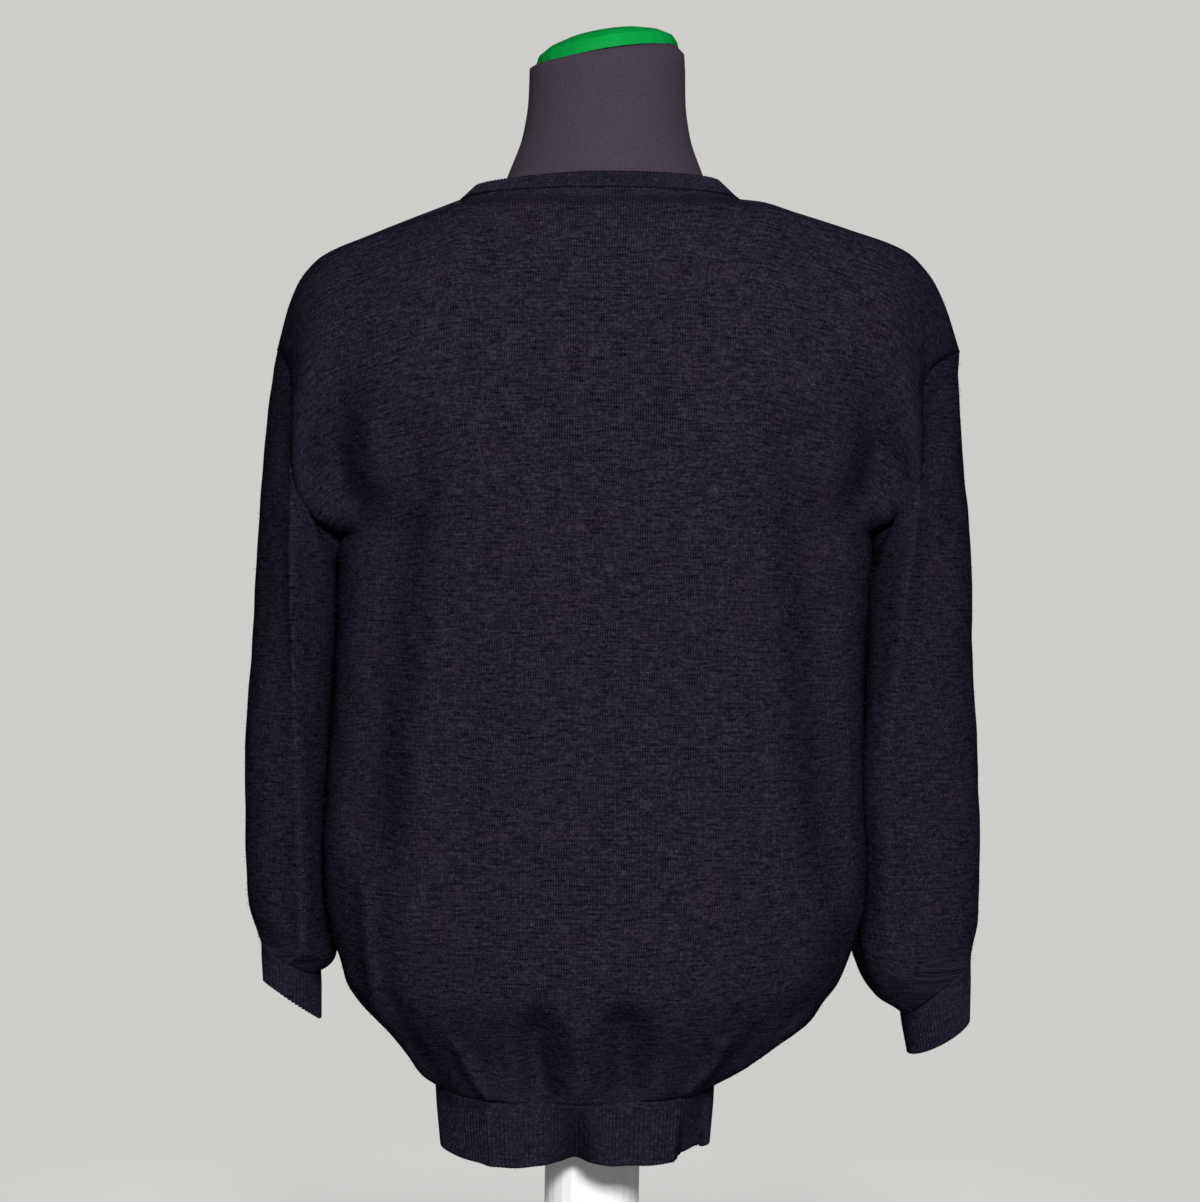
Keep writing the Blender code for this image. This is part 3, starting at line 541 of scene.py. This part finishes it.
cuffShape = {
    "left": {"outerZ": 329.5, "innerZ": 301, "outerX": 235, "innerX": 197, "back": 36, "front": -35,
             "lift": 6, "forward": 14},
    "right": {"outerZ": 303, "innerZ": 277, "outerX": 258, "innerX": 217, "back": 36, "front": -35,
              "lift": 0, "forward": 14},
    "pitch": 3.1, "perRib": 8, "rows": 18, "height": 0.9, "thickness": 1.5, "start": 0.15,
}


def turnedAngles(angles, crease):
    corners = (0, crease, math.pi, 2 * math.pi - crease, 2 * math.pi)
    return np.interp(angles, corners, math.pi / 2 * np.arange(5))


def sleeveRing(row, angles):
    ring = dict(zip(sleeveShape["columns"], row))
    up, aside = np.cos(angles), np.sin(angles)
    aside = np.sign(aside) * np.abs(aside) ** np.where(up < 0, sleeveShape["flank"], 1)
    wedge = np.where(up > 0, sleeveShape["outside"] if ring["ridge"] else 1, 1)
    ridgeUp = up
    up, aside = np.sign(up) * np.abs(up) ** wedge, np.sign(aside) * np.abs(aside) ** wedge
    middle = (ring["outerX"] + ring["innerX"]) / 2
    x = middle + (ring["outerX"] - ring["innerX"]) / 2 * up + (ring["ridgeX"] - middle) * np.abs(aside) ** 3
    y = np.where(aside > 0, ring["back"] * aside, -ring["front"] * aside)
    y = y + ring["ridge"] * np.exp(-(ridgeUp / sleeveShape["ridgeWidth"]) ** 2) * np.sign(aside)
    y = y - ring["forward"] * (1 - up) / 2
    z = (ring["outerZ"] + ring["innerZ"]) / 2 + (ring["outerZ"] - ring["innerZ"]) / 2 * up
    return np.stack([x, y, z], -1)


def spreadRings(rings, count):
    rings = np.array(rings)
    last = len(rings) - 1
    at = np.linspace(0, last, count)
    k = np.clip(at.astype(int), 0, last - 1)
    t = (at - k)[:, None, None]
    slope = np.gradient(rings, axis=0)
    return (rings[k] * (1 + 2 * t) * (1 - t) ** 2 + slope[k] * t * (1 - t) ** 2
            + rings[k + 1] * t * t * (3 - 2 * t) + slope[k + 1] * t * t * (t - 1))


def makeSleeve(side, seed):
    sign = 1 if side == "left" else -1
    angles = np.linspace(0, 2 * math.pi, sleeveShape["around"] + 1)
    loop = np.array([armholePoint(side, angle) for angle in angles])
    rings = [loop]
    for j, row in enumerate(sleeveShape[side]):
        crease = sleeveShape["crease" if j else "firstCrease"]
        rings.append(sleeveRing(row, turnedAngles(angles, crease)))
    points = spreadRings(rings, sleeveShape["rows"]) * (sign, 1, 1)
    normals = surfaceNormals(points, around=True)
    middle = points.mean(axis=1, keepdims=True)
    if np.sum((points - middle) * normals) < 0:
        normals = -normals
    row = np.arange(len(points))
    calm = smoothStep(np.minimum(row, row[::-1]) / 8)[:, None]
    broad = softNoise(points * (1, 1, 0.5), sleeveShape["broad"], seed) * sleeveShape["broadHeight"]
    fine = softNoise(points, sleeveShape["fine"], seed + 1) * sleeveShape["fineHeight"]
    points = points + normals * ((broad + fine) * calm)[..., None]
    points[:, -1] = points[:, 0]
    around = lengthAlong(points * (1, 1, 0), 1)
    uv = np.stack([around - around[:, -1:] / 2, points[..., 2]], -1)
    piece = makeSheet(side + "Sleeve", points, uv, normals, garment["thickness"], knit, closed=True)
    return piece, points, normals


def ribWave(along, pitch, height):
    return height * (np.maximum(0.5 + 0.5 * np.cos(2 * math.pi * along / pitch), 0) ** 0.65 - 0.35)


def refine(values, stations, at):
    return np.stack([np.interp(at, stations, values[..., axis]) for axis in range(values.shape[-1])], -1)


def ribbedBand(name, seam, edge, outward, look, closed):
    # seam and edge run side by side; the ribs cross from one to the other
    length = lengthAlong(seam)
    ribs = int(round(length[-1] / look["pitch"]))
    at = np.linspace(0, length[-1], ribs * look["perRib"] + 1)
    top, bottom, out = refine(seam, length, at), refine(edge, length, at), unit(refine(outward, length, at))
    if closed:
        top[-1], bottom[-1], out[-1] = top[0], bottom[0], out[0]
    down = np.linspace(0, 1, look["rows"])[:, None, None]
    points = top[None] * (1 - down) + bottom[None] * down
    wave = ribWave(at, length[-1] / ribs, look["height"])
    strength = look["start"] + (1 - look["start"]) * smoothStep(down[..., 0] / 0.4)
    points = points + out[None] * (wave[None] * strength)[..., None]
    drop = lengthAlong(points, 0)
    uv = np.stack([np.broadcast_to(at, drop.shape), drop], -1)
    normals = np.broadcast_to(out[None], points.shape)
    return makeSheet(name, points, uv, normals, look["thickness"], rib, closed=closed)


def makeCuff(side, ring):
    sign = 1 if side == "left" else -1
    end = cuffShape[side]
    angles = turnedAngles(np.linspace(0, 2 * math.pi, sleeveShape["around"] + 1), sleeveShape["crease"])
    up, aside = np.cos(angles), np.sin(angles)
    x = (end["outerX"] + end["innerX"]) / 2 + (end["outerX"] - end["innerX"]) / 2 * up
    y = np.where(aside > 0, end["back"] * aside, -end["front"] * aside) - end["forward"] * (1 - up) / 2
    z = (end["outerZ"] + end["innerZ"]) / 2 + (end["outerZ"] - end["innerZ"]) / 2 * up
    z = z + end["lift"] * np.abs(aside)
    edge = np.stack([x * sign, y, z], -1)
    out = unit((ring - ring.mean(axis=0)) * (1, 1, 0))
    return ribbedBand(side + "Cuff", ring - (0, 0, garment["gap"]), edge, out, cuffShape, closed=True)


sleeves = {side: makeSleeve(side, seed) for side, seed in (("left", 37), ("right", 53))}
for side in ("left", "right"):
    makeCuff(side, sleeves[side][1][-1])
print("sleeves and cuffs made")

# Hem rib
hemShape = {"pitch": 3.1, "perRib": 8, "rows": 22, "height": 0.9, "thickness": 1.5, "middle": 16,
            "narrow": 0.96, "start": 0.1}
hemWave = {
    "columns": ("x", "depth"),
    "rows": ((-78, 0), (-66, -30), (-56, -27), (-49, 2), (-27, 3), (-14, 5), (6, -20), (17, -42), (27, -22),
             (40, 2), (64, 6), (84, 2), (112, 0)),
}


def makeHem(face):
    points, way = panels[face][1], panels[face][5]
    seam = points[0] - (0, 0, garment["gap"])
    edge = seam.copy()
    edge[:, 2] = garment["hemEdge"]
    edge[:, 0] = hemShape["middle"] + (edge[:, 0] - hemShape["middle"]) * hemShape["narrow"]
    if face == "back":
        edge[:, 1] += tableCurve(hemWave, "depth", edge[:, 0]) * np.clip(edge[:, 1] / 45, 0, 1)
    out = unit(np.cross(np.gradient(seam, axis=0), [0, 0, -1]) * way)
    return ribbedBand(face + "HemRib", seam, edge, out, hemShape, closed=False)


for face in ("back", "front"):
    makeHem(face)

# Neckband
bandShape = {"pitch": 2.94, "perRib": 8, "rows": 10, "height": 0.8, "thickness": 1.5, "softness": 24,
             "backWidth": 18, "leftFall": 0.3, "start": 0.6}


def frontDepth(x, level):
    line = halfSection("front", "left" if x >= 0 else "right", level)
    return float(np.interp(abs(x), line[:, 0], line[:, 1]))


def bandBesideNeck(here):
    # the band leans in towards the neck at the back and the corners
    inwards = -unit(np.array([here[0], here[1] - garment["seamAtNeck"], 0]))
    leftwards = float(smoothStep(here[0] / garment["neckHalf"]))
    width = bandShape["backWidth"] * (1 - bandShape["leftFall"] * leftwards)
    return here + unit(inwards + np.array([0, 0, 0.95])) * width


def bandOnFront(line, normals, k, across):
    here, count, width = line[k], len(line), garment["bandWidth"]
    sign = 1 if here[0] >= 0 else -1
    flat = abs(here[0]) < 1
    along = unit(line[k + sign] - here) if flat else unit(line[min(k + 1, count - 1)] - line[k - 1]) * sign
    inwards = unit(np.cross(along, normals[k]))
    inwards = inwards * (1 if inwards[2] > 0 else -1)
    above = here + unit(inwards + np.array([0, 0, 0.3])) * width
    plain = abs(here[0]) - width * abs(inwards[0])
    x = (plain + math.sqrt(plain * plain + bandShape["softness"] * abs(here[0]))) / 2
    z = here[2] + width * inwards[2] + (x - plain) * along[2] / abs(along[0])
    mitred = np.array([x * sign, frontDepth(x * sign, z), z])
    share = min(max((across - 0.45) / 0.25, 0), 1)
    corner = float(smoothStep((across - 0.6) / 0.4))
    return (mitred * (1 - share) + above * share) * (1 - corner) + bandBesideNeck(here) * corner


def neckStations(face):
    points, normals, neckPart = panels[face][1:4]
    line, found = points[-1], []
    for k in np.nonzero(neckPart <= 1.0001)[0]:
        here = line[k]
        edge = bandBesideNeck(here) if face == "back" else bandOnFront(line, normals[-2], k, neckPart[k])
        bandWay = unit(edge - here)
        away = normals[-2, k] + 0.9 * unit(np.array([here[0], here[1] + 7, 0]))
        found.append((here, edge, unit(away - bandWay * np.dot(away, bandWay))))
    return found


def makeNeckband():
    stations = neckStations("back") + neckStations("front")[-2:0:-1]
    stations.append(stations[0])
    seam, edge, out = (np.array([station[j] for station in stations]) for j in range(3))
    kernel = np.array([1, 2, 3, 2, 1]) / 9
    ring = edge[:-1]
    smooth = sum(weight * np.roll(ring, step, 0) for weight, step in zip(kernel, range(-2, 3)))
    edge = np.concatenate([smooth, smooth[:1]])
    start = seam + unit(edge - seam) * garment["gap"]
    return ribbedBand("neckBand", start, edge, out, bandShape, closed=True)


makeNeckband()
print("ribbed hem and neckband made")

# Linked seams: a low ridge of thread along each join
seamShape = {"radius": 0.65, "roundness": 1}
yarn = simpleMaterial("seamYarn", (0.0075, 0.0068, 0.012, 1), 1.0, 1400.0, 0.6, darker=0.3, shine=0.0)


def makeThreads(name, paths, radius, roundness, material):
    # a curve with a path for each thread, thickened and turned into a mesh
    clearSelection()
    bpy.ops.curve.primitive_bezier_curve_add()
    threads = bpy.context.object
    threads.name = name
    threads.data.splines.clear()
    for path in paths:
        spline = threads.data.splines.new("POLY")
        spline.points.add(len(path) - 1)
        placed = np.concatenate([lean(np.asarray(path)) * mm, np.ones((len(path), 1))], 1)
        spline.points.foreach_set("co", placed.astype(np.float32).ravel())
    threads.data.bevel_depth = radius * mm
    threads.data.bevel_resolution = roundness
    threads.data.use_fill_caps = True
    bpy.ops.object.convert(target="MESH")
    if roundness:
        bpy.ops.object.shade_smooth()
    threads.data.materials.append(material)


def makeSeam(name, paths):
    makeThreads(name, paths, seamShape["radius"], seamShape["roundness"], yarn)


def joinLine(row):
    # halfway between the back's and the front's edge
    return (panels["back"][1][row] + panels["front"][1][row]) / 2


def shoulderPaths():
    neckPart = panels["back"][3]
    line = joinLine(-1)
    half = len(neckPart) // 2
    beyond = neckPart >= 0.999
    return [line[:half][beyond[:half]], line[half:][beyond[half:]]]


def sidePaths():
    under = panels["back"][4] <= garment["underarm"]
    return [joinLine((under, end)) for end in (0, -1)]


makeSeam("shoulderSeams", shoulderPaths())
makeSeam("sideSeams", sidePaths())
makeSeam("armholeSeams", [sleeves[side][1][0] for side in ("left", "right")])
neckBack = panels["back"][1][-1][panels["back"][3] <= 1.001]
neckFront = panels["front"][1][-1][panels["front"][3] <= 1.001]
makeSeam("neckSeam", [np.concatenate([neckBack, neckFront[::-1], neckBack[:1]])])
print("seams made")

# The dress form under the sweater
formShape = {
    "columns": ("z", "halfWidth", "back", "front", "square"), "around": 108, "between": 5,
    "rows": (
        (330, 146, 88, -94, 2.3), (338, 152, 96, -102, 2.3), (400, 151, 99, -104, 2.3),
        (470, 143, 93, -99, 2.2), (530, 140, 92, -101, 2.2), (600, 146, 99, -112, 2.2),
        (660, 152, 105, -119, 2.3), (700, 156, 105, -119, 2.3), (740, 166, 102, -111, 2.3),
        (770, 182, 97, -100, 2.2), (802.4, 188, 88, -86, 2.06), (822.5, 182, 78, -72, 1.84),
        (836.5, 163, 70, -60, 1.58), (850.5, 137, 66, -52, 1.5), (861.4, 106, 64, -50, 1.6),
        (870.7, 84, 62, -52, 1.72), (880, 74, 58, -54, 2.0), (897, 66.5, 52, -54, 2.0),
        (920, 58.5, 46, -54, 2.0), (945, 55, 43, -53, 2.0), (966, 54.5, 42.5, -52, 2.0),
    ),
}
jersey = simpleMaterial("darkJersey", (0.0275, 0.0205, 0.031, 1), 0.95, 700.0, 0.3, darker=0.72, shine=0.2)
green = simpleMaterial("greenCap", (0.0, 0.17, 0.026, 1), 0.7, 60.0, 0.1, shine=0.04)
film = simpleMaterial("filmWrap", (0.66, 0.65, 0.64, 1), 0.6, 28.0, 0.35, stretch=(1, 1, 0.25), coat=0.1)
paint = simpleMaterial("paleBase", (0.5, 0.49, 0.475, 1), 0.5, 120.0, 0.08, shine=0.3)


def makeForm():
    around = np.linspace(0, 2 * math.pi, formShape["around"] + 1)
    up, aside = np.cos(around), np.sin(around)
    levels = column(formShape, "z")
    at = np.interp(np.linspace(0, len(levels) - 1, (len(levels) - 1) * formShape["between"] + 1),
                   np.arange(len(levels)), levels)
    width, back, front, square = (tableCurve(formShape, name, at)[:, None]
                                  for name in ("halfWidth", "back", "front", "square"))
    x = width * np.sign(up) * np.abs(up) ** (2 / square)
    y = np.where(aside > 0, back, -front) * np.sign(aside) * np.abs(aside) ** (2 / square)
    points = np.stack([x, y, np.broadcast_to(at[:, None], x.shape)], -1)
    top = points[-1:] * (0.985, 0.985, 1) + (0, 0, 6)
    top = np.concatenate([top, top * (0.9, 0.9, 1) + (0, 0, 3)])
    top[..., 2] -= top[..., 0] * math.tan(math.radians(10)) * np.array([0.6, 1.0])[:, None]
    points = np.concatenate([points, top])
    points[:, -1] = points[:, 0]
    normals = surfaceNormals(points, around=True)
    middle = points.mean(axis=1, keepdims=True)
    if np.sum((points - middle) * normals) < 0:
        normals = -normals
    uv = np.stack([np.broadcast_to(around * 60, points.shape[:2]), lengthAlong(points, 0)], -1)
    return makeSheet("formCover", points, uv, normals, 1.2, jersey, closed=True, leans=False)


makeForm()
print("dress form made")

# Loose fibres that stand off the knit. Their colour is paler than the knit's, a painted sheen, and most
# fibres on the sleeves are gathered on the fold ridge, a painted bright line along each ridge
fuzz = {"count": 8500, "shares": (0.34, 0.14, 0.26, 0.26), "onFold": 0.6, "fold": 46, "foldSpread": 1.2,
        "length": (0.8, 2.6), "radius": 0.07, "stray": 0.9, "seed": 5}
# the fibre colour is paler than the knit: painted sheen
sheenFibreWool = simpleMaterial("looseFibrePaintedSheen", (0.026, 0.0245, 0.037, 1), 1.0, 900.0, 0.1, shine=0.0)


def fuzzPaths():
    chance = np.random.default_rng(fuzz["seed"])
    surfaces = [(panels[face][1], panels[face][2]) for face in ("back", "front")]
    surfaces += [(sleeves[side][1], sleeves[side][2]) for side in ("left", "right")]
    paths = []
    for k, share in enumerate(fuzz["shares"]):
        points, normals = surfaces[k]
        for _ in range(int(fuzz["count"] * share)):
            i, j = chance.integers(points.shape[0]), chance.integers(points.shape[1])
            # most sleeve fibres go on the fold ridge, where their pale colour paints a highlight line
            if k > 1 and chance.random() < fuzz["onFold"]:
                j = int(round(chance.normal(fuzz["fold"], fuzz["foldSpread"])))
            way = unit(normals[i, j] + fuzz["stray"] * chance.normal(size=3))
            way = way if way @ normals[i, j] > 0.1 else unit(way + normals[i, j])
            start = points[i, j] - normals[i, j] * 0.1
            paths.append(np.array([start, start + way * chance.uniform(*fuzz["length"])]))
    return paths


makeThreads("looseFuzz", fuzzPaths(), fuzz["radius"], 0, sheenFibreWool)
print("loose fibres made")

# CAD pieces that stay get their finish
for node, material in (("neck_cap", green), ("pole", film), ("stand_base", paint)):
    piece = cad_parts[node]
    for place in piece.material_slots:
        place.material = material
    clearSelection()
    piece.select_set(True)
    bpy.context.view_layer.objects.active = piece
    bpy.ops.object.shade_smooth_by_angle(angle=math.radians(35))

# Who rides, and which solid each piece stands for
standsFor = {
    "backPanel": ("back_panel", "navy_knit"), "frontPanel": ("front_panel", "navy_knit"),
    "leftSleeve": ("sleeve_left", "navy_knit"), "rightSleeve": ("sleeve_right", "navy_knit"),
    "leftCuff": ("cuff_left", "navy_rib"), "rightCuff": ("cuff_right", "navy_rib"),
    "backHemRib": ("hem_rib_back", "navy_rib"), "frontHemRib": ("hem_rib_front", "navy_rib"),
    "neckBand": ("neckband", "navy_rib"), "formCover": ("form_torso", "dark_jersey"),
}
for name, (node, slot) in standsFor.items():
    piece = bpy.data.objects[name]
    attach(piece, "root")
    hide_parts(node)
trims = {"shoulderSeams": "navy_knit", "sideSeams": "navy_knit", "armholeSeams": "navy_knit",
         "neckSeam": "navy_rib", "looseFuzz": "navy_knit"}
for name, slot in trims.items():
    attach(bpy.data.objects[name], "root")

# What each sheet was cut to, in metres
cuts = {
    "backPanel": (0.55, 0.66), "frontPanel": (0.55, 0.66),
    "leftSleeve": (0.34, 0.42), "rightSleeve": (0.36, 0.44),
    "leftCuff": (0.14, 0.04), "rightCuff": (0.15, 0.045),
    "backHemRib": (0.32, 0.043), "frontHemRib": (0.32, 0.043),
    "neckBand": (0.76, 0.029), "formCover": (0.82, 0.72),
}
for name, flat in cuts.items():
    piece = bpy.data.objects[name]
    area = min(sheetArea(piece), flat[0] * flat[1])
    print(name, "area", round(sheetArea(piece), 4), "flat", round(flat[0] * flat[1], 4))

# Floor, light and background
studio = {"wall": (0.62, 0.615, 0.6, 1), "floor": (0.5, 0.495, 0.485, 1), "air": (0.06, 0.06, 0.066, 1)}
clearSelection()
bpy.ops.mesh.primitive_plane_add(size=2.4, location=(0, 0, 0))
floor = bpy.context.object
floor.name = "floor"
floorPaint, tree, shader = makeMaterial("paleFloor")
shader.inputs["Base Color"].default_value = studio["floor"]
shader.inputs["Roughness"].default_value = 0.8
place = addNode(tree, "ShaderNodeTexCoord").outputs["Object"]
away = addNode(tree, "ShaderNodeVectorMath", {0: place}, operation="LENGTH").outputs["Value"]
clear = addNode(tree, "ShaderNodeBsdfTransparent")
blend = addNode(tree, "ShaderNodeMixShader", {0: rampNode(tree, away, 0.3, 1.15), 1: shader.outputs[0],
                                              2: clear.outputs[0]})
tree.links.new(blend.outputs[0], tree.nodes["Material Output"].inputs[0])
floor.data.materials.append(floorPaint)

# the wall that the camera sees is paler than the room that lights the wool
world = bpy.data.worlds.new("studioAir")
world.use_nodes = True
tree = world.node_tree
wall = tree.nodes["Background"]
wall.inputs[0].default_value = studio["wall"]
air = addNode(tree, "ShaderNodeBackground", {0: studio["air"], 1: 1.0})
seen = addNode(tree, "ShaderNodeLightPath").outputs["Is Camera Ray"]
both = addNode(tree, "ShaderNodeMixShader", {0: seen, 1: air.outputs[0], 2: wall.outputs[0]})
tree.links.new(both.outputs[0], tree.nodes["World Output"].inputs[0])
bpy.context.scene.world = world


def addLight(name, place, aim, size, power):
    bpy.ops.object.light_add(type="AREA", location=place)
    light = bpy.context.object
    light.name = name
    light.data.shape = "RECTANGLE"
    light.data.size, light.data.size_y = size
    light.data.energy = power
    light.rotation_euler = (Vector(aim) - Vector(place)).to_track_quat("-Z", "Y").to_euler()


addLight("windowLight", (-0.18, 2.45, 1.4), (0, 0, 0.5), (0.5, 0.4), 134)
addLight("topLight", (0, 0.9, 2.3), (0, 0, 0.7), (1.6, 1.0), 6)
addLight("frontFill", (0.1, -2.6, 1.25), (0, 0, 0.6), (0.9, 0.8), 70)
bpy.context.scene.view_settings.view_transform = "Standard"
print("studio set")
